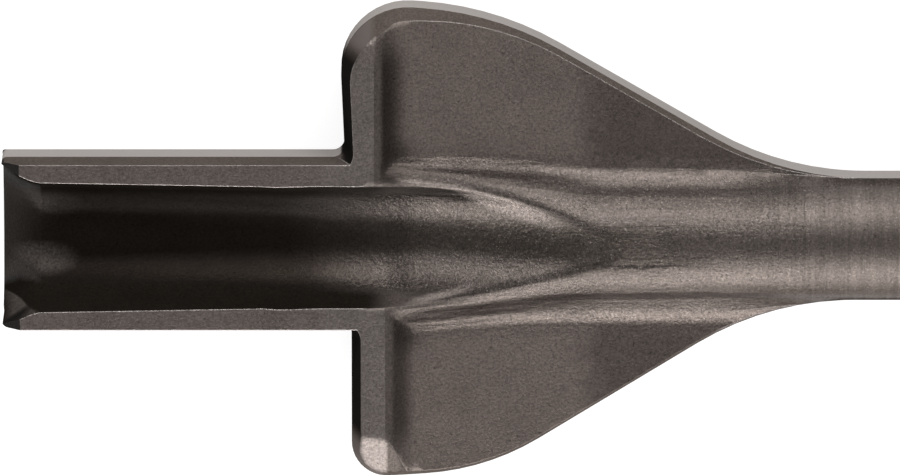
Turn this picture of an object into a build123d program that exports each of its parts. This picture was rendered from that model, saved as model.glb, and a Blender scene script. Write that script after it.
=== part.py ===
from build123d import *

# Channel chisel: one steel forging with a trough blade, two wings and a slotted drive tang.
# The struck end face is centred on the origin, the cutting edge lies at -X and the open
# side of the trough is +Z. A station is a distance from the cutting edge.

from collections import namedtuple
from math import asin, atan2, copysign, cos, degrees, radians, sin, sqrt, tan
from os import makedirs

# Whole tool
overall_length = 300.0
bar_diameter = 20.0

# Band left all round the parting line, where the flash was trimmed off
land_thickness = 5.5

# Trough
trough_width = 26.0
rim_height = 9.0
belly_inset = 0.06
belly_shoulder = 7.0
belly_crown_angle = 15.3

# Channel inside the trough: a floor that rises gently, then a ramp out to the bar's top
rim_wall = 2.7
channel_radius = 9.0
channel_end_radius = 10.8
channel_draft = 11.0
channel_rise = 5.2
ramp_rise = 14.2
ramp_end = 96.0
ramp_blend = 150.0

# Cutting edge, ground on the inside
edge_thickness = 0.3
edge_bevel = 6.0
edge_flare = 1.5
tip_corner = 1.0
rim_nose = 3.0

# Wings in plan. The left one is at +Y, and the two differ a little
wing_root_radius = 46.0
wing_joint_radius = 1.8
left_front = 53.0
left_lean = 1.05
left_reach = 37.25
left_corner = 10.3
left_crown_station = 76.2
left_crown_drop = 1.65
left_crown_radius = 49.0
left_root = 120.9
right_front = 54.0
right_lean = 0.0
right_reach = 37.85
right_corner = 5.5
right_crown_station = 74.8
right_crown_drop = 1.3
right_crown_radius = 38.0
right_root = 118.5
front_draft = 13.0
side_draft = 20.0

# Rib along the front of each wing, ground away at a slope towards its outer end
left_rib_back = 57.5
right_rib_back = 59.2
rib_brow_angle = 22.0
rib_brow_run = 1.3
rib_brow_radius = 2.0
rib_back_angle = 40.0
rib_back_radius = 5.0
left_rib_end = 31.8
right_rib_end = 30.4
rib_end_angle = 23.0
rib_end_lean = 3.0

# Web of the wings, up or down from the parting plane. The upper one sweeps up to the ribs
web_height = 4.4
web_height_at_rib = 7.4
web_fade_start = 108.0
web_fade_end = 130.0
web_fade_height = 1.0

# Ridge that carries the trough back into the round bar. It sways a little to the left
ridge_start = 59.0
ridge_end = 92.0
ridge_height = 9.5
ridge_shoulder = 2.4
ridge_crown_angle = 10.0
ridge_narrowing = 0.65
ridge_sway = 0.6
neck_half_width = 10.7
neck_shoulder = 10.2
bar_crown_angle = 45.0
rib_fillet = 3.4
web_fillet = 4.0
fade_fillet = 1.0

# Drive tang
tang_diameter = 18.0
tang_length = 90.0
shoulder_length = 5.0
struck_chamfer = 1.5
slot_length = 62.0
slot_depth = 3.0
wide_slot_width = 6.0
narrow_slot_width = 4.5
narrow_slot_spread = 40.0
lock_length = 24.0
lock_width = 6.0
lock_depth = 2.6
lock_centre = 41.0

tip = -overall_length
bar_radius = bar_diameter / 2
tang_radius = tang_diameter / 2
half_land = land_thickness / 2
half_trough = trough_width / 2
land_reach = sqrt(bar_radius**2 - half_land**2)
past = 5.0
stock = 60.0


def section_plane(station, sway=0.0):
    """The cross-section plane at a station: its x runs along +Y and its y along +Z."""
    return Plane(origin=(tip + station, sway, 0), x_dir=(0, 1, 0), z_dir=(1, 0, 0))


def plan_plane(height):
    """A level plane whose own x is the station."""
    return Plane(origin=(tip, 0, height), x_dir=(1, 0, 0), z_dir=(0, 0, 1))


side_plane = Plane(origin=(tip, 0, 0), x_dir=(1, 0, 0), z_dir=(0, -1, 0))


def turned(centre, radius, angle):
    """The point of a circle at this angle from straight up, in degrees towards +Y."""
    return centre[0] + radius * sin(radians(angle)), centre[1] + radius * cos(radians(angle))


def shoulder_circle(height, half_width, shoulder, crown_angle):
    """Centre of the shoulder arc that runs on from a crown arc at this height."""
    crown = shoulder + (half_width - shoulder) / sin(radians(crown_angle))
    return turned((0, height - crown), crown - shoulder, crown_angle)


def draw_arch(up, height, half_width, shoulder, crown_angle, end_angle):
    """An arch of one crown arc and two shoulder arcs. Its two feet are returned."""
    centre = shoulder_circle(height, half_width, shoulder, crown_angle)
    start = turned(centre, shoulder, crown_angle)
    middle = turned(centre, shoulder, (crown_angle + end_angle) / 2)
    end = turned(centre, shoulder, end_angle)
    ThreePointArc((-start[0], up * start[1]), (0, up * height), (start[0], up * start[1]))
    for side in (1, -1):
        points = [(side * y, up * z) for y, z in (start, middle, end)]
        ThreePointArc(*points)
    return (end[0], up * end[1]), (-end[0], up * end[1])


def draw_die_section(up, height, half_width, shoulder, crown_angle, web, fillet_radius):
    """Half a cross-section of the forging: the arch, a fillet each side and the flat web."""
    centre = shoulder_circle(height, half_width, shoulder, crown_angle)
    rise = web + fillet_radius - centre[1]
    gap = sqrt((shoulder + fillet_radius) ** 2 - rise**2)
    touch = degrees(atan2(gap, rise))
    fillet_centre = (centre[0] + gap, web + fillet_radius)
    middle = turned(fillet_centre, -fillet_radius, touch / 2)
    feet = draw_arch(up, height, half_width, shoulder, crown_angle, touch)
    for side, foot in zip((1, -1), feet):
        edge_of_web = (side * fillet_centre[0], up * web)
        ThreePointArc(foot, (side * middle[0], up * middle[1]), edge_of_web)
        Line(edge_of_web, (side * stock, up * web))
        Line((side * stock, up * web), (side * stock, 0))
    Line((-stock, 0), (stock, 0))


def draw_trough_section(depth, half_width, shoulder, crown_angle, draft, top):
    """A U: an upturned arch with a side wall each way, closed by a level line at the top."""
    feet = draw_arch(-1, depth, half_width, shoulder, crown_angle, 90 - draft)
    corner = (feet[0][0] + (top - feet[0][1]) * tan(radians(draft)), top)
    Polyline(feet[0], corner, (-corner[0], top), feet[1])


front_ridge = (ridge_height, half_trough, ridge_shoulder, ridge_crown_angle)
front_belly = (bar_radius, half_trough - belly_inset, belly_shoulder, belly_crown_angle)
neck = (bar_radius, neck_half_width, neck_shoulder, bar_crown_angle)
bar = (bar_radius, bar_radius, bar_radius, bar_crown_angle)


def share_of(station, start, end):
    """How far a station lies from start to end, from 0 to 1."""
    return min(max(station - start, 0) / (end - start), 1)


def between(one, other, *shares):
    """The sizes this far from one section to the other, with a share for each or for all."""
    shares = shares if len(shares) > 1 else shares * len(one)
    return [a + (b - a) * share for a, b, share in zip(one, other, shares)]


def ridge_at(station):
    """Height, half width, shoulder and crown angle of the upper ridge at a station."""
    if station > ridge_end:
        return between(neck, bar, share_of(station, ridge_end, web_fade_end))
    share = share_of(station, ridge_start, ridge_end)
    return between(front_ridge, neck, share, share**ridge_narrowing, share**2, share)


def belly_at(station):
    """The same four sizes of the underside."""
    return between(front_belly, bar, share_of(station, ridge_start, web_fade_end))


def web_at(station):
    """Height and slope of the upper web, which sweeps up from the neck to the ribs."""
    sweep = (web_height_at_rib - web_height) / (ridge_end - left_rib_back) ** 2
    return web_height + sweep * (ridge_end - station) ** 2, 2 * sweep * (ridge_end - station)


def sway_at(station):
    """How far the ridge and its channel lie off centre at a station."""
    return ridge_sway * sin(radians(180 * share_of(station, ridge_start, ridge_end)))




def draw_wing(wing, rise=0.0):
    """One wing in plan, from inside the trough to the bar, drawn in by the draft of this rise."""
    side = wing.side
    inside = wing.front - past
    rear = wing.root + wing_root_radius
    points = (
        (inside, -side * past),
        (inside, side * half_trough),
        (wing.front, side * half_trough),
        (wing.front - wing.lean, side * wing.reach),
        (wing.crown_station, side * (wing.reach - wing.crown_drop)),
        (wing.root, side * land_reach),
        (rear, side * land_reach),
        (rear, -side * past),
    )
    radii = (0, 0, wing_joint_radius, wing.corner, wing.crown_radius, wing_root_radius, 0, 0)
    to_front = rise * tan(radians(front_draft))
    to_side = rise * tan(radians(side_draft))
    insets = (to_front, to_front, to_front, to_side, to_side, to_side, to_front, to_front)
    corners = [Vector(*point) for point in points]
    ahead = [(b - a).normalized() for a, b in zip(corners, corners[1:] + corners[:1])]
    inward = [edge.rotate(Axis.Z, -90 * side) for edge in ahead]
    drawn_in = []
    drawn_radii = []
    for index, (point, radius) in enumerate(zip(corners, radii)):
        one, other = inward[index - 1], inward[index]
        a, b = insets[index - 1], insets[index]
        slant = one.dot(other)
        turn = side * ahead[index - 1].cross(ahead[index]).Z
        drawn_in.append(point + (one * (a - b * slant) + other * (b - a * slant)) / (1 - slant**2))
        drawn_radii.append(radius + copysign((a + b) / 2, turn) if radius else 0)
    FilletPolyline(*drawn_in, radius=drawn_radii, close=True)


Wing = namedtuple(
    "Wing", "side front lean rib_back rib_end reach corner crown_station crown_drop crown_radius root"
)
wings = (
    Wing(
        side=1,
        front=left_front,
        lean=left_lean,
        rib_back=left_rib_back,
        rib_end=left_rib_end,
        reach=left_reach,
        corner=left_corner,
        crown_station=left_crown_station,
        crown_drop=left_crown_drop,
        crown_radius=left_crown_radius,
        root=left_root,
    ),
    Wing(
        side=-1,
        front=right_front,
        lean=right_lean,
        rib_back=right_rib_back,
        rib_end=right_rib_end,
        reach=right_reach,
        corner=right_corner,
        crown_station=right_crown_station,
        crown_drop=right_crown_drop,
        crown_radius=right_crown_radius,
        root=right_root,
    ),
)

# The wings' blank: a straight land, and drafted walls above and below it
land_to_top = (half_land, half_land + rim_height)
land_to_bottom = (-half_land, -web_height - past)
with BuildPart() as blank:
    for wing in wings:
        with BuildSketch(plan_plane(0)):
            with BuildLine():
                draw_wing(wing)
            make_face()
        extrude(amount=half_land, both=True)
        for foot, top in (land_to_top, land_to_bottom):
            with BuildSketch(plan_plane(foot)):
                with BuildLine():
                    draw_wing(wing)
                make_face()
            with BuildSketch(plan_plane(top)):
                with BuildLine():
                    draw_wing(wing, rise=abs(top - foot))
                make_face()
            loft(ruled=True)

# What the upper die leaves: ridge, fillets and webs. Ahead of the neck it is one smooth
# surface, and behind it the ridge fades into the bar
ridge_steps = 7
ridge_pitch = (ridge_end - ridge_start) / ridge_steps
front_stations = [ridge_start - past] + [ridge_start + i * ridge_pitch for i in range(ridge_steps + 1)]
with BuildPart() as upper_form:
    for station in front_stations:
        share = share_of(station, ridge_start, ridge_end)
        web, slope = web_at(station)
        with BuildSketch(section_plane(station, sway_at(station))):
            with BuildLine():
                draw_die_section(1, *ridge_at(station), web, rib_fillet + (web_fillet - rib_fillet) * share)
            make_face()
    loft()
    for station, web, fillet_radius in (
        (ridge_end, web_height, web_fillet),
        (web_fade_start, web_height, web_fillet),
        (web_fade_end, web_fade_height, fade_fillet),
    ):
        with BuildSketch(section_plane(station)):
            with BuildLine():
                draw_die_section(1, *ridge_at(station), web, fillet_radius)
            make_face()
    loft(ruled=True)

# What the lower die leaves
lower_stations = (
    (left_front - past, web_height, rib_fillet),
    (ridge_start, web_height, rib_fillet),
    (web_fade_start, web_height, web_fillet),
    (web_fade_end, web_fade_height, fade_fillet),
)
with BuildPart() as lower_form:
    for station, web, fillet_radius in lower_stations:
        with BuildSketch(section_plane(station)):
            with BuildLine():
                draw_die_section(-1, *belly_at(station), web, fillet_radius)
            make_face()
    loft(ruled=True)

# A rib stands along each wing's front. Behind its rounded brow it falls into the web
brow_slope = tan(radians(rib_brow_angle))
back_slope = tan(radians(rib_back_angle))
with BuildPart() as ribs:
    for wing in wings:
        front = wing.front - wing.lean - past
        web_at_back, web_slope = web_at(wing.rib_back)
        brow = wing.rib_back + rib_brow_run
        brow_height = rim_height - rib_brow_run * brow_slope
        run = (brow_height - web_at_back + rib_brow_run * web_slope) / (back_slope - web_slope)
        foot = brow + run + rib_back_radius
        with BuildSketch(side_plane):
            with BuildLine():
                FilletPolyline(
                    (front, 0),
                    (front, rim_height),
                    (wing.rib_back, rim_height),
                    (brow, brow_height),
                    (brow + run, brow_height - run * back_slope),
                    (foot, web_at_back - (foot - wing.rib_back) * web_slope),
                    (foot, 0),
                    radius=(0, 0, 0, rib_brow_radius, rib_back_radius, 0, 0),
                    close=True,
                )
            make_face()
        extrude(amount=-wing.side * stock)

# The wings' body, with the outer end of each rib ground away at a slope
with BuildPart() as wing_body:
    add(upper_form.part)
    add(lower_form.part)
    add(ribs.part)
    with BuildSketch(plan_plane(0)):
        with Locations((left_front - past, 0)):
            Rectangle(2 * stock + past, 2 * stock, align=(Align.MIN, Align.CENTER))
    extrude(amount=half_land, both=True)
    add(blank.part, mode=Mode.INTERSECT)
    for wing in wings:
        start = wing.front - wing.lean - past
        drop = (wing.rib_back - start) * tan(radians(rib_end_lean))
        fall = tan(radians(rib_end_angle))
        inner = wing.rib_end - 2 * past
        outer = wing.reach + past
        with BuildSketch(section_plane(start)):
            with BuildLine():
                Polyline(
                    (wing.side * inner, rim_height - drop + (wing.rib_end - inner) * fall),
                    (wing.side * outer, rim_height - drop + (wing.rib_end - outer) * fall),
                    (wing.side * outer, rim_height + stock),
                    (wing.side * inner, rim_height + stock),
                    close=True,
                )
            make_face()
        lean = radians(rib_end_lean)
        extrude(amount=stock / 2, dir=(cos(lean), 0, sin(lean)), mode=Mode.SUBTRACT)

# The round bar and the drive tang, with the parting band's flats along the bar
bar_end = overall_length - tang_length - shoulder_length
with BuildPart() as shank:
    with BuildSketch(side_plane):
        with BuildLine():
            Polyline(
                (web_fade_end, 0),
                (web_fade_end, bar_radius),
                (bar_end, bar_radius),
                (bar_end + shoulder_length, tang_radius),
                (overall_length - struck_chamfer, tang_radius),
                (overall_length, tang_radius - struck_chamfer),
                (overall_length, 0),
                close=True,
            )
        make_face()
    revolve(axis=Axis.X)
    with BuildSketch(plan_plane(0)):
        Rectangle(2 * overall_length, 2 * land_reach)
    extrude(amount=stock, both=True, mode=Mode.INTERSECT)

# The channel. Its floor follows two slopes with a blend between them
rim_half = half_trough - rim_wall
wall_slope = tan(radians(channel_draft))
channel_centre = rim_height - (rim_half - channel_radius / cos(radians(channel_draft))) / wall_slope
floor_at_tip = channel_centre - channel_radius
floor_slope = tan(radians(channel_rise))
ramp_slope = tan(radians(ramp_rise))
knee = (bar_radius - ramp_end * ramp_slope - floor_at_tip) / (floor_slope - ramp_slope)
blend_reach = ramp_blend * tan(radians((ramp_rise - channel_rise) / 2))
blend_start = knee - blend_reach * cos(radians(channel_rise))
blend_end = knee + blend_reach * cos(radians(ramp_rise))


def channel_at(station):
    """Depth below the parting plane and radius of the channel at a station."""
    floor = floor_at_tip + station * floor_slope
    if station > blend_start:
        run = min(station, blend_end) - blend_start
        angle = asin(sin(radians(channel_rise)) + run / ramp_blend)
        floor = floor_at_tip + blend_start * floor_slope
        floor += ramp_blend * (cos(radians(channel_rise)) - cos(angle))
    if station > blend_end:
        floor += (station - blend_end) * ramp_slope
    share = share_of(station, blend_start, ramp_end)
    radius = channel_radius + (channel_end_radius - channel_radius) * share
    return -floor, radius


ramp_steps = 8
ramp_pitch = (ramp_end - blend_start) / ramp_steps
ramp_stations = [blend_start + i * ramp_pitch for i in range(ramp_steps + 1)] + [ramp_end + past]
with BuildPart() as channel:
    for stations in ((-past, blend_start), ramp_stations):
        for station in stations:
            depth, radius = channel_at(station)
            with BuildSketch(section_plane(station, sway_at(station))):
                with BuildLine():
                    draw_trough_section(
                        depth, radius, radius, belly_crown_angle, channel_draft, stock / 2
                    )
                make_face()
        loft()

# The cutting edge: the inside flares out until only a thin lip is left
depth, radius = channel_at(edge_bevel)
lip_section = (
    bar_radius - edge_thickness,
    half_trough - edge_thickness,
    belly_shoulder - edge_thickness,
    belly_crown_angle,
    0,
)
channel_section = (depth, radius, radius, belly_crown_angle, channel_draft)
with BuildPart() as edge_cut:
    for part_of_bevel in (0, 0.2, 0.45, 0.7, 1):
        share = (1 - part_of_bevel) ** edge_flare
        with BuildSketch(section_plane(part_of_bevel * edge_bevel)):
            with BuildLine():
                draw_trough_section(
                    *[a + (b - a) * share for a, b in zip(channel_section, lip_section)],
                    rim_height + past,
                )
            make_face()
    loft()

# The trough: a drafted belly below the parting band, straight sides above
with BuildPart() as trough:
    with BuildSketch(section_plane(0)):
        with BuildLine():
            feet = draw_arch(-1, *belly_at(0), 90 - front_draft)
            Polyline(
                feet[0],
                (half_trough, -half_land),
                (half_trough, rim_height),
                (-half_trough, rim_height),
                (-half_trough, -half_land),
                feet[1],
            )
        make_face()
    extrude(amount=left_rib_back)
    with BuildSketch(plan_plane(0)):
        with BuildLine():
            FilletPolyline(
                (2 * left_rib_back, half_trough),
                (0, half_trough),
                (0, -half_trough),
                (2 * left_rib_back, -half_trough),
                radius=(0, tip_corner, tip_corner, 0),
                close=True,
            )
        make_face()
    extrude(amount=stock, both=True, mode=Mode.INTERSECT)

with BuildPart() as channel_chisel:
    add(wing_body.part)
    add(shank.part)
    add(trough.part)

    # The rims are ground flat as far as the backs of the ribs, and their noses are bevelled
    for wing in wings:
        inward = Align.MIN if wing.side > 0 else Align.MAX
        with BuildSketch(plan_plane(rim_height)):
            with Locations((wing.rib_back, 0)):
                Rectangle(stock, stock, align=(Align.MAX, inward))
        extrude(amount=past, mode=Mode.SUBTRACT)
    with BuildSketch(side_plane):
        with BuildLine():
            Polyline(
                (-past, rim_height - rim_nose - past),
                (rim_nose + past, rim_height + past),
                (-past, rim_height + past),
                close=True,
            )
        make_face()
    extrude(amount=stock, both=True, mode=Mode.SUBTRACT)
    add(channel.part, mode=Mode.SUBTRACT)
    add(edge_cut.part, mode=Mode.SUBTRACT)

    # Open drive slots run out through the struck end, lock slots are closed at both ends
    open_slot = (0, 2 * slot_length, slot_depth)
    slots = (
        (0, wide_slot_width, *open_slot),
        (180 - narrow_slot_spread, narrow_slot_width, *open_slot),
        (180 + narrow_slot_spread, narrow_slot_width, *open_slot),
        (90, lock_width, -lock_centre, lock_length, lock_depth),
        (-90, lock_width, -lock_centre, lock_length, lock_depth),
    )
    for angle, width, centre, length, depth in slots:
        outward = (0, sin(radians(angle)), cos(radians(angle)))
        origin = (0, tang_radius * outward[1], tang_radius * outward[2])
        with BuildSketch(Plane(origin=origin, x_dir=(1, 0, 0), z_dir=outward)):
            with Locations((centre, 0)):
                SlotOverall(length, width)
        extrude(amount=-depth, mode=Mode.SUBTRACT)

makedirs("parts", exist_ok=True)
channel_chisel.part.label = "channel_chisel"
export_step(channel_chisel.part, "parts/channel_chisel.step")
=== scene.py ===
from functools import reduce
from math import cos, radians, sin

import bpy
from mathutils import Matrix, Vector


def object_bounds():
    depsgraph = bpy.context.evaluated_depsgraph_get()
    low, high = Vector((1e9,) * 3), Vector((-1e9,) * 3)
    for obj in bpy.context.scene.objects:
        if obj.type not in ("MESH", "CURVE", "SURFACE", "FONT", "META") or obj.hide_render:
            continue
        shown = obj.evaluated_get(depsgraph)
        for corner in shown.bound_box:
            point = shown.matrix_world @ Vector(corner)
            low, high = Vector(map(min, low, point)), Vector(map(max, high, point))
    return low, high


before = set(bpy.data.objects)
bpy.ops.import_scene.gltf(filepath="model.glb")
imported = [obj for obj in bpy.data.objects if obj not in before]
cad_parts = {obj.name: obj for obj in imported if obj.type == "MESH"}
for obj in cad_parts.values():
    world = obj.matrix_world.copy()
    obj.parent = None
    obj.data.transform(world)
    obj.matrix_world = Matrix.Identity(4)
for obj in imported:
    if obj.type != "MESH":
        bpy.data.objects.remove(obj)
cad_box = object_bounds()
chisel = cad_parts["channel_chisel"]
scene = bpy.context.scene

# The camera looks down on the open side, square to the tool's length and tipped a little
# towards the left wing
view_tilt = radians(12.5)
view_distance = 2.0
view_width = 0.139
sensor_width = 36.0
target = Vector((-0.2308, -0.00035, 0.0))
right = Vector((1, 0, 0))
up = Vector((0, cos(view_tilt), -sin(view_tilt)))
back = right.cross(up)

# Soft boxes: name, degrees of tilt towards the top of the picture, width and power
lamp_distance = 0.8
lamp_length = 0.9
lamps = (
    ("upper_lamp", 42, 0.2, 6.2),
    ("lower_lamp", -77, 0.24, 6.6),
    ("low_fill", -60, 0.15, 1.4),
)
world_strength = 0.4

# Sizes of the solid that the zones of the steel follow, in millimetres. A station is a
# distance from the cutting edge
overall_length = 300.0
rim_height = 9.0
half_land = 2.75
left_rib_back = 57.5
right_rib_back = 59.2

millimetre = 0.001

# Roundings that only show in the shading, in metres
edge_rounding = 0.00025
crest_rounding = 0.0014
rib_end_rounding = 0.0012
rib_foot_rounding = 0.0014
groove_rounding = 0.0018

floor_reach = 4.0
floor_grey = 0.35
floor_glow = 0.8


class Value:
    """A number that varies over a surface. Arithmetic with it adds nodes to its graph."""

    def __init__(self, graph, socket):
        self.graph = graph
        self.socket = socket

    def __add__(self, other):
        return self.graph.math("ADD", self, other)

    def __sub__(self, other):
        return self.graph.math("SUBTRACT", self, other)

    def __rsub__(self, other):
        return self.graph.math("SUBTRACT", other, self)

    def __mul__(self, other):
        return self.graph.math("MULTIPLY", self, other)

    def __truediv__(self, other):
        return self.graph.math("DIVIDE", self, other)

    def __pow__(self, other):
        return self.graph.math("POWER", self, other)

    def __abs__(self):
        return self.graph.math("ABSOLUTE", self)


class Graph:
    """The nodes of one new material."""

    def __init__(self, name):
        self.material = bpy.data.materials.new(name)
        self.material.use_nodes = True
        self.tree = self.material.node_tree
        self.shader = self.tree.nodes["Principled BSDF"]

    def put(self, socket, value):
        """Gives an input a number, a colour or another node's output."""
        if isinstance(value, Value):
            self.tree.links.new(value.socket, socket)
        elif socket.type == "RGBA":
            socket.default_value = (*value, 1)
        else:
            socket.default_value = value

    def add(self, kind, inputs=(), **settings):
        node = self.tree.nodes.new(kind)
        for name, setting in settings.items():
            setattr(node, name, setting)
        for key, value in dict(inputs).items():
            self.put(node.inputs[key], value)
        return node

    def result(self, kind, inputs=(), output=0, **settings):
        return Value(self, self.add(kind, inputs, **settings).outputs[output])

    def math(self, operation, *values, **settings):
        inputs = enumerate(values)
        return self.result("ShaderNodeMath", inputs, operation=operation, **settings)

    def parts(self, vector):
        """The three numbers of a vector."""
        node = self.add("ShaderNodeSeparateXYZ", {"Vector": vector})
        return [Value(self, socket) for socket in node.outputs]

    def noise(self, place, scale, detail, rough):
        inputs = {"Vector": place, "Scale": scale, "Detail": detail, "Roughness": rough}
        return self.result("ShaderNodeTexNoise", inputs, "Fac")


def look_from(offset):
    """The placement of a camera or lamp at this offset from the target, facing it."""
    away = offset.normalized()
    across = (right - away * away.x).normalized()
    placed = Matrix((across, away.cross(across), away)).transposed().to_4x4()
    placed.translation = target + offset
    return placed


def step(value, low, high, start=0.0, end=1.0):
    """Goes smoothly from start to end while the value goes from low to high."""
    inputs = {"Value": value, "From Min": low, "From Max": high, "To Min": start, "To Max": end}
    kind = "ShaderNodeMapRange"
    return value.graph.result(kind, inputs, "Result", interpolation_type="SMOOTHSTEP")


def span(value, outset, full, fading, gone):
    """1 where the value is from full to fading, and 0 up to the outset and once gone."""
    return step(value, outset, full) * step(value, gone, fading)


def mix(share, one, other):
    """A number that goes from one to the other as the share goes from 0 to 1."""
    return share.graph.result("ShaderNodeMix", {0: share, 2: one, 3: other})


def blend(share, one, other):
    """A colour that goes from one to the other as the share goes from 0 to 1."""
    inputs = {"Factor": share, 6: one, 7: other}
    return share.graph.result("ShaderNodeMix", inputs, 2, data_type="RGBA")


def coated(colour, coats):
    """The colour with these zones laid over it in turn, each in its own colour."""
    for zone, coat in coats:
        colour = blend(zone, colour, coat)
    return colour


def larger(one, other):
    return one.graph.math("MAXIMUM", one, other)


def scaled(vector, factor):
    inputs = {0: vector, "Scale": factor}
    return vector.graph.result("ShaderNodeVectorMath", inputs, operation="SCALE")


def stretched(place, scale):
    return place.graph.result("ShaderNodeMapping", {"Vector": place, "Scale": scale})


camera_data = bpy.data.cameras.new("camera")
camera_data.sensor_width = sensor_width
camera_data.lens = sensor_width * view_distance / view_width
camera_data.clip_start = 0.01
camera_data.clip_end = 50.0
camera = bpy.data.objects.new("camera", camera_data)
camera.matrix_world = look_from(back * view_distance)
scene.collection.objects.link(camera)
scene.camera = camera

for name, tilt, width, power in lamps:
    lamp_data = bpy.data.lights.new(name, "AREA")
    lamp_data.shape = "RECTANGLE"
    lamp_data.size = lamp_length
    lamp_data.size_y = width
    lamp_data.energy = power
    lamp = bpy.data.objects.new(name, lamp_data)
    toward = back * cos(radians(tilt)) + up * sin(radians(tilt))
    lamp.matrix_world = look_from(toward * lamp_distance)
    scene.collection.objects.link(lamp)

world = bpy.data.worlds.new("studio")
world.use_nodes = True
scene.world = world
sky = world.node_tree.nodes["Background"]
sky.inputs["Color"].default_value = (1, 1, 1, 1)
sky.inputs["Strength"].default_value = world_strength

# The steel. Its places are in millimetres
steel = Graph("forged_steel")
coordinates = steel.add("ShaderNodeTexCoord")
place = scaled(Value(steel, coordinates.outputs["Object"]), 1 / millimetre)
x, y, z = steel.parts(place)
nx, ny, nz = steel.parts(Value(steel, coordinates.outputs["Normal"]))

# Grain at several sizes, forging flow along the ridge and turning marks round the bar
grain = steel.noise(place, 2.6, 4.0, 0.7)
fine = steel.noise(place, 6.5, 2.0, 0.6)
patches = steel.noise(place, 0.13, 4.0, 0.6)
lumps = steel.noise(place, 1.4, 3.0, 0.6)
scale_pits = steel.noise(place, 1.9, 2.0, 0.5)
painted_glint_noise = steel.noise(place, 3.1, 2.0, 0.6)
waver = steel.noise(place, 0.35, 3.0, 0.6) - 0.5
flow = steel.noise(stretched(place, (0.14, 1.3, 1.3)), 1.0, 5.0, 0.7)
turned = steel.noise(stretched(place, (1.4, 0.05, 0.05)), 1.0, 3.0, 0.6)

# Where a point is and how its face lies
station = x + overall_length
wavy_station = station + waver * 6.0
side = abs(y)
height = abs(z)
level = abs(nz)
upright = abs(ny)
steep = step(level, 0.75, 0.45)
left = step(y, -0.5, 0.5)


def by_side(for_left, for_right):
    """One number on the left wing's side of the tool and another on the right."""
    return mix(left, for_right, for_left)


behind = station - by_side(left_rib_back, right_rib_back)

# Channel: its hollow, its blackened front part, a painted highlight on its left wall, painted
# shade on its steep walls and on the nose of the rims, and soft glows painted on as highlights
half_channel = 10.35 - station * 0.01769
channel_edge = half_channel + step(station, 8.0, 5.0, 0.0, 3.5)
hollow = (
    step(y * ny, 1.0, 0.0)
    * step(side, channel_edge + 0.1, channel_edge)
    * step(z, 8.97, 8.85)
    * step(nz, -0.1, 0.0)
)
in_channel = hollow * step(station + waver * 2.0, 67.0, 43.0)
# A painted highlight on the channel's left wall
painted_wall_highlight = span(ny, -0.8, -0.6, -0.45, -0.25) * step(y, 1.0, 3.0)
# Painted shade that darkens the channel's steep walls near the front
channel_wall_shade = steep * step(side, 10.3, 10.0) * step(station, 62.0, 56.0)
# Painted shade: the forward-facing nose of the rims is painted black
nose_shade = step(nx, -0.3, -0.5) * step(z, 3.0, 6.0) * step(station, 6.0, 4.0)
# Station, distance to the left, half length, half width and strength of each patch
painted_highlight_patches = (
    (6.5, -4.4, 6.0, 2.8, 1.0),
    (8.5, 4.2, 4.5, 2.4, 0.6),
    (2.8, -9.0, 3.6, 5.0, 0.9),
    (52.0, 4.4, 11.0, 2.6, 0.7),
)
# Painted highlights: soft bright glows laid on the channel's colour
highlight_glows = []
for along_at, across_at, half_length, half_width, strength in painted_highlight_patches:
    along_it = (station - along_at) / half_length
    across_it = (y - across_at) / half_width
    highlight_glows.append(step(along_it * along_it + across_it * across_it, 1.0, 0.0) * strength)
painted_glow = reduce(larger, highlight_glows) * (grain + 0.3)

# Run-out: the floor that rises out of the channel, painted shade where it lies level, its scarred
# end, a seam behind that
level_floor_shade = (
    step(side, 4.5, 2.0)
    * step(station, 45.0, 55.0)
    * step(wavy_station, 112.0, 92.0)
    * step(nz, 0.9, 0.96)
)
run_out = step(side, 8.5, 7.5) * span(wavy_station, 45.0, 62.0, 90.0, 100.0)
scar = span(wavy_station, 84.0, 93.0, 98.0, 107.0) * step(side, 5.5, 3.5) * step(nz, 0.3, 0.6)
seam = (
    step(abs(y + 2.9 + waver * 2.0), 0.55, 0.15)
    * span(station, 90.0, 94.0, 99.0, 113.0)
    * step(z, 0.0, 2.0)
    * step(flow, 0.38, 0.52)
)

# Crests between the run-out and the ridge. Each one's distance from the axis is fitted to the
# solid, and off_crest says how far outside the nearer one a point lies
left_crest = 11.1 - larger(station - 61.5, 0.0) ** 1.632 * 0.03
right_crest = 9.46 - (station - 64.6) * 0.25
off_crest = side - by_side(left_crest, right_crest) + waver * 0.6
crest = span(station, 57.0, 60.0, 95.0, 97.0) * step(side, 12.5, 11.0) * step(z, 4.0, 6.0)
near_apex = left * step(station, 79.0, 87.0)
crest_shade = (
    step(abs(off_crest + near_apex * 0.5), mix(near_apex, 0.9, 1.3), 0.2)
    * step(behind, by_side(3.0, 7.0), by_side(9.0, 15.0))
    * step(station, 97.0, 90.0)
    * step(z, 0.0, 2.0)
    * step(flow, 0.25, 0.6, 0.45, 1.0)
)
wide_light = left * step(station, 68.0, 76.0)
crest_light = (
    step(off_crest, -0.2, -0.7)
    * step(off_crest, mix(wide_light, -1.6, -4.2), mix(wide_light, -1.0, -2.6))
    * step(behind, 2.0, 6.0)
    * step(station, by_side(88.0, 75.0), by_side(80.0, 69.0))
)
lip_shadow = left * span(off_crest, -3.8, -2.4, -1.6, -1.0) * span(station, 44.0, 56.0, 68.0, 76.0)
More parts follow.
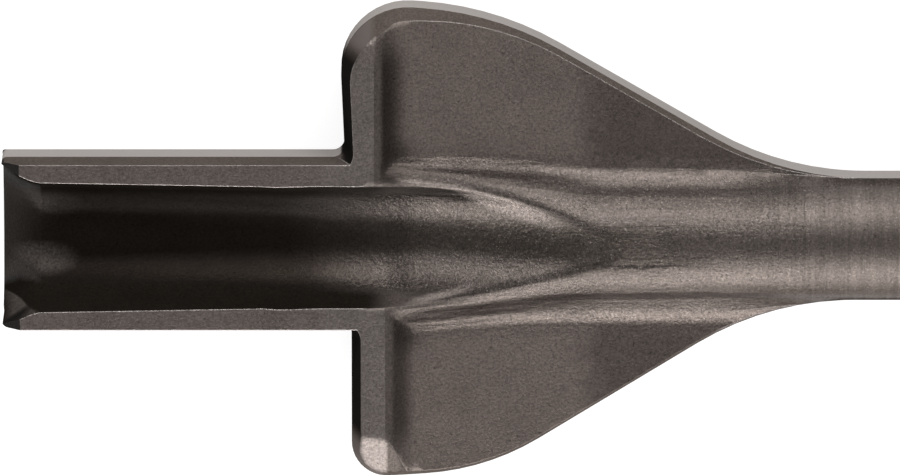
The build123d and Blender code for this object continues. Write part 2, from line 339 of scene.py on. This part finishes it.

# Ridge and bar: the drawn-out length, painted shade on its flanks, foot and top, the turned part,
# where the bump's grain is bigger and glints are painted, and where its grain is coarse
along = step(side, 16.0, 12.0) * span(wavy_station, 58.0, 66.0, 114.0, 136.0)
flank = along * step(level, 0.9, 0.7) * step(side, 4.0, 6.0)
shaded_flank = flank * by_side(1.0, step(station, 87.0, 95.0, 1.0, 0.35))
ridge_foot_shade = (
    step(side, by_side(9.5, 10.8), by_side(10.5, 11.8))
    * step(side, by_side(14.5, 16.0), by_side(13.0, 14.0))
    * span(behind, 1.0, 3.0, by_side(20.0, 26.0), by_side(32.0, 38.0))
    * by_side(0.4, 0.3)
)
ridge_top_shade = (
    span(behind, 2.0, 4.0, 12.0, 22.0)
    * span(side, 9.0, 9.6, 10.5, 11.5)
    * step(y, 0.0, -1.0)
)
lathe = step(station, 112.0, 124.0) * step(side, 12.0, 11.0)
grain_and_glint_zone = larger(along, lathe)
coarse = larger(along, run_out)

# Wings: webs, painted shade on their rear, in the groove behind each rib, at its corner and past
# its end, the rib's two ends, its ground facet and its front, which is painted black as shade
web = step(side, 10.5, 14.0) * step(level, 0.5, 0.7) * step(behind, 0.0, 5.0)
# Painted shade: the rear part of each web is darkened
rear_web_shade = web * step(wavy_station, 87.0, 94.0)
# Painted shade in the groove behind each rib
rib_back_shade = (
    span(behind, 0.6, 1.6, 2.2, by_side(6.2, 5.0))
    * span(side, 9.8, 11.5, 28.0, 33.0)
    * by_side(0.92, 0.6)
)
groove = span(behind, 1.6, 2.6, 5.0, 6.0) * step(side, 10.0, 12.0) * step(level, 0.6, 0.7)
rib_foot = span(station, 55.0, 57.0, 62.0, 66.0) * span(side, 9.0, 10.0, 13.5, 15.0)
# Painted shade in the corner behind the rib, by the ridge
rib_corner_shade = span(behind, 1.0, 2.0, 3.0, 8.0) * span(side, 9.5, 11.0, 14.5, 18.0)
rib_end = step(side, 28.0, 30.0) * step(station, 61.0, 59.5)
# Painted shade on the slope past the rib's end
past_end_shade = span(behind, 0.0, 0.6, 6.0, 7.5) * step(side, 28.5, 30.5) * step(upright, 0.22, 0.34)
facet = step(level, 0.5, 0.7) * step(side, 28.8, 31.0) * step(behind, 0.5, -0.1)
end_side = (
    step(level, 0.7, 0.5)
    * step(side, 29.5, 32.0)
    * step(behind, 0.5, -1.0)
    * step(z, half_land - 0.15, half_land + 0.45)
)
# Painted shade: the wings' forward-facing fronts are painted black
front_shade = (
    step(nx, -0.6, -0.85)
    * step(level, 0.6, 0.4)
    * step(station, 40.0, 45.0)
    * step(side, 31.5, 28.5)
)

# Outline: the bright land, the drafted walls above and below it, and the ground rims
land = (
    step(level, 0.30, 0.10)
    * step(height, half_land + 0.1, half_land - 0.1)
    * step(station, 206.0, 203.0)
    * step(hollow, 0.5, 0.0)
)
drafted_wall = (
    step(level, 0.62, 0.42)
    * step(height, half_land - 0.1, half_land + 0.1)
    * step(side, 10.5, 11.5)
)
ground_rim = step(nz, 0.985, 0.995) * step(abs(z - rim_height), 0.12, 0.05)

# Edges are rounded in the shading, and the sharp ones are painted bright, partly as wear and
# partly as a painted edge highlight
edge_radius = edge_rounding
for zone, radius in (
    (crest, crest_rounding),
    (rib_end, rib_end_rounding),
    (rib_foot, rib_foot_rounding),
    (groove, groove_rounding),
):
    edge_radius = mix(zone, edge_radius, radius)
rounded = steel.result("ShaderNodeBevel", {"Radius": edge_radius}, samples=6)
true_normal = steel.result("ShaderNodeNewGeometry", output="Normal")
normals = {0: rounded, 1: true_normal}
turn = steel.result("ShaderNodeVectorMath", normals, "Value", operation="DOT_PRODUCT")
worn_and_highlit_edge = step(turn, 0.985, 0.93) * step(fine, 0.35, 0.6) * step(y, -14.5, -13.5, 0.1, 1.0)
for unbrightened in (crest, rib_end, hollow, larger(rib_foot, groove)):
    worn_and_highlit_edge = worn_and_highlit_edge * step(unbrightened, 0.5, 0.0)
worn_and_highlit_edge = worn_and_highlit_edge * (1.0 - step(station, 53.0, 51.0) * step(side, 11.0, 12.0) * 0.5)

# Colours of the zones, laid over each other in this order
rim_colour = blend(step(station, 48.0, 51.0), (0.13, 0.109, 0.1), (0.15, 0.13, 0.119))
# The channel's black scale, with a painted highlight on its left wall and painted glows over both
channel_colour = blend(painted_wall_highlight, (0.020, 0.0155, 0.0125), (0.046, 0.039, 0.034))
channel_colour = blend(painted_glow, channel_colour, (0.085, 0.073, 0.066))
bar_colour = (0.108, 0.091, 0.082)
coats = (
    (web, (0.155, 0.128, 0.115)),
    (rear_web_shade, (0.095, 0.078, 0.07)),
    (shaded_flank, (0.06, 0.05, 0.045)),
    # painted shade on the turned bar's steep sides
    (lathe * step(level, 0.6, 0.35), (0.05, 0.041, 0.037)),
    (past_end_shade, (0.06, 0.05, 0.045)),
    (rib_corner_shade * 0.85, (0.055, 0.046, 0.041)),
    (ground_rim, rim_colour),
    (level_floor_shade, (0.055, 0.046, 0.04)),
    (rib_back_shade, (0.042, 0.034, 0.030)),
    (drafted_wall, (0.092, 0.075, 0.066)),
    (in_channel, channel_colour),
    (channel_wall_shade, (0.012, 0.0095, 0.0075)),
    (facet, (0.16, 0.137, 0.127)),
    (crest_light, (0.2, 0.17, 0.155)),
    (crest_shade * 0.75, (0.025, 0.021, 0.019)),
    (lip_shadow * 0.7, (0.02, 0.017, 0.015)),
    (ridge_foot_shade, (0.06, 0.05, 0.045)),
    (seam * 0.9, (0.025, 0.021, 0.019)),
    (ridge_top_shade * 0.5, (0.06, 0.05, 0.045)),
)
colour = coated(bar_colour, coats)

# Dapple from grain and marks, and over it what is bright or black whatever the grain, painted
# glints among them
mottle = patches * 0.44 + 0.78
speckle = grain * mix(coarse, 1.8, 2.5) + mix(coarse, 0.1, -0.25)
pits = step(scale_pits, 0.27, 0.34, 0.55, 1.0)
streaks = mix(along, 1.0, step(flow, 0.3, 0.7, 0.9, 1.1))
rings = mix(lathe, 1.0, step(turned, 0.3, 0.7, 0.86, 1.14))
colour = scaled(colour, mottle * speckle * pits * streaks * rings)
top_coats = (
    # painted glints: sparse bright specks on the ridge and bar
    (step(painted_glint_noise, 0.62, 0.7) * grain_and_glint_zone * 0.5, (0.27, 0.24, 0.22)),
    (land, (0.365, 0.335, 0.318)),
    (end_side, (0.135, 0.115, 0.105)),
    # fronts and nose painted black as shade
    (larger(front_shade, nose_shade), (0.012, 0.0105, 0.0095)),
    # sharp edges: partly wear, partly a painted highlight
    (worn_and_highlit_edge, (0.45, 0.415, 0.395)),
)
colour = coated(colour, top_coats)

# Steep faces, the wings' fronts and the channel hardly shine: the channel for its scale, the steep
# faces and fronts to darken them, which is painted shade
shade_and_scale_dulling = larger(larger(front_shade, steep), in_channel * 0.5)
base_roughness = mix(run_out, mix(along, 0.37, 0.32), 0.28)

# Relief in millimetres
ripples = (
    steel.math("SINE", (side + (station - 62.0) * 0.09) * 3.3)
    * span(behind, 2.0, 6.0, 14.0, 30.0)
    * span(side, 7.0, 8.0, 12.5, 14.5)
)
foot_flare = (
    step(side, by_side(12.2, 13.2), 9.1)
    * step(y, -8.0, 8.0, 1.1, 0.6)
    * step(station, 60.0, 94.0, 0.45, 1.05)
    * span(station, 59.0, 64.0, 112.0, 128.0)
)
relief = (
    grain * mix(grain_and_glint_zone, 0.08, 0.1)
    + fine * 0.02
    + flow * along * step(station, 80.0, 92.0, 0.12, 0.07)
    + ripples * 0.05
    + foot_flare
    + flow * scar * 0.17
    + lumps * run_out * 0.12
    + turned * lathe * 0.1
)
bump = {"Height": relief, "Distance": millimetre, "Strength": 1.0, "Normal": rounded}

steel.put(steel.shader.inputs["Base Color"], colour)
steel.put(steel.shader.inputs["Metallic"], 0.9 - shade_and_scale_dulling * 0.9)
steel.put(steel.shader.inputs["Specular IOR Level"], 0.5 - shade_and_scale_dulling * 0.5)
steel.put(steel.shader.inputs["Specular Tint"], (0.3, 0.27, 0.25))
steel.put(steel.shader.inputs["Roughness"], base_roughness + (fine - 0.5) * 0.2)
steel.put(steel.shader.inputs["Normal"], steel.result("ShaderNodeBump", bump))
chisel.material_slots[0].material = steel.material

# The floor looks white to the camera and in reflections, and keeps the tool's shadow
floor_corners = [
    (-floor_reach, -floor_reach, 0),
    (floor_reach, -floor_reach, 0),
    (floor_reach, floor_reach, 0),
    (-floor_reach, floor_reach, 0),
]
floor_mesh = bpy.data.meshes.new("floor")
floor_mesh.from_pydata(floor_corners, [], [(0, 1, 2, 3)])
floor = bpy.data.objects.new("floor", floor_mesh)
floor.location.z = cad_box[0][2]
scene.collection.objects.link(floor)
paper = Graph("paper")
rays = paper.add("ShaderNodeLightPath").outputs
camera_ray, glossy_ray, transmission_ray = (
    Value(paper, rays[name]) for name in ("Is Camera Ray", "Is Glossy Ray", "Is Transmission Ray")
)
seen = paper.math("ADD", camera_ray + glossy_ray, transmission_ray, use_clamp=True)
paper.put(paper.shader.inputs["Base Color"], (floor_grey, floor_grey, floor_grey))
paper.put(paper.shader.inputs["Roughness"], 0.9)
paper.put(paper.shader.inputs["Emission Color"], (1, 1, 1))
paper.put(paper.shader.inputs["Emission Strength"], seen * floor_glow)
floor.data.materials.append(paper.material)
scene.view_settings.view_transform = "Standard"
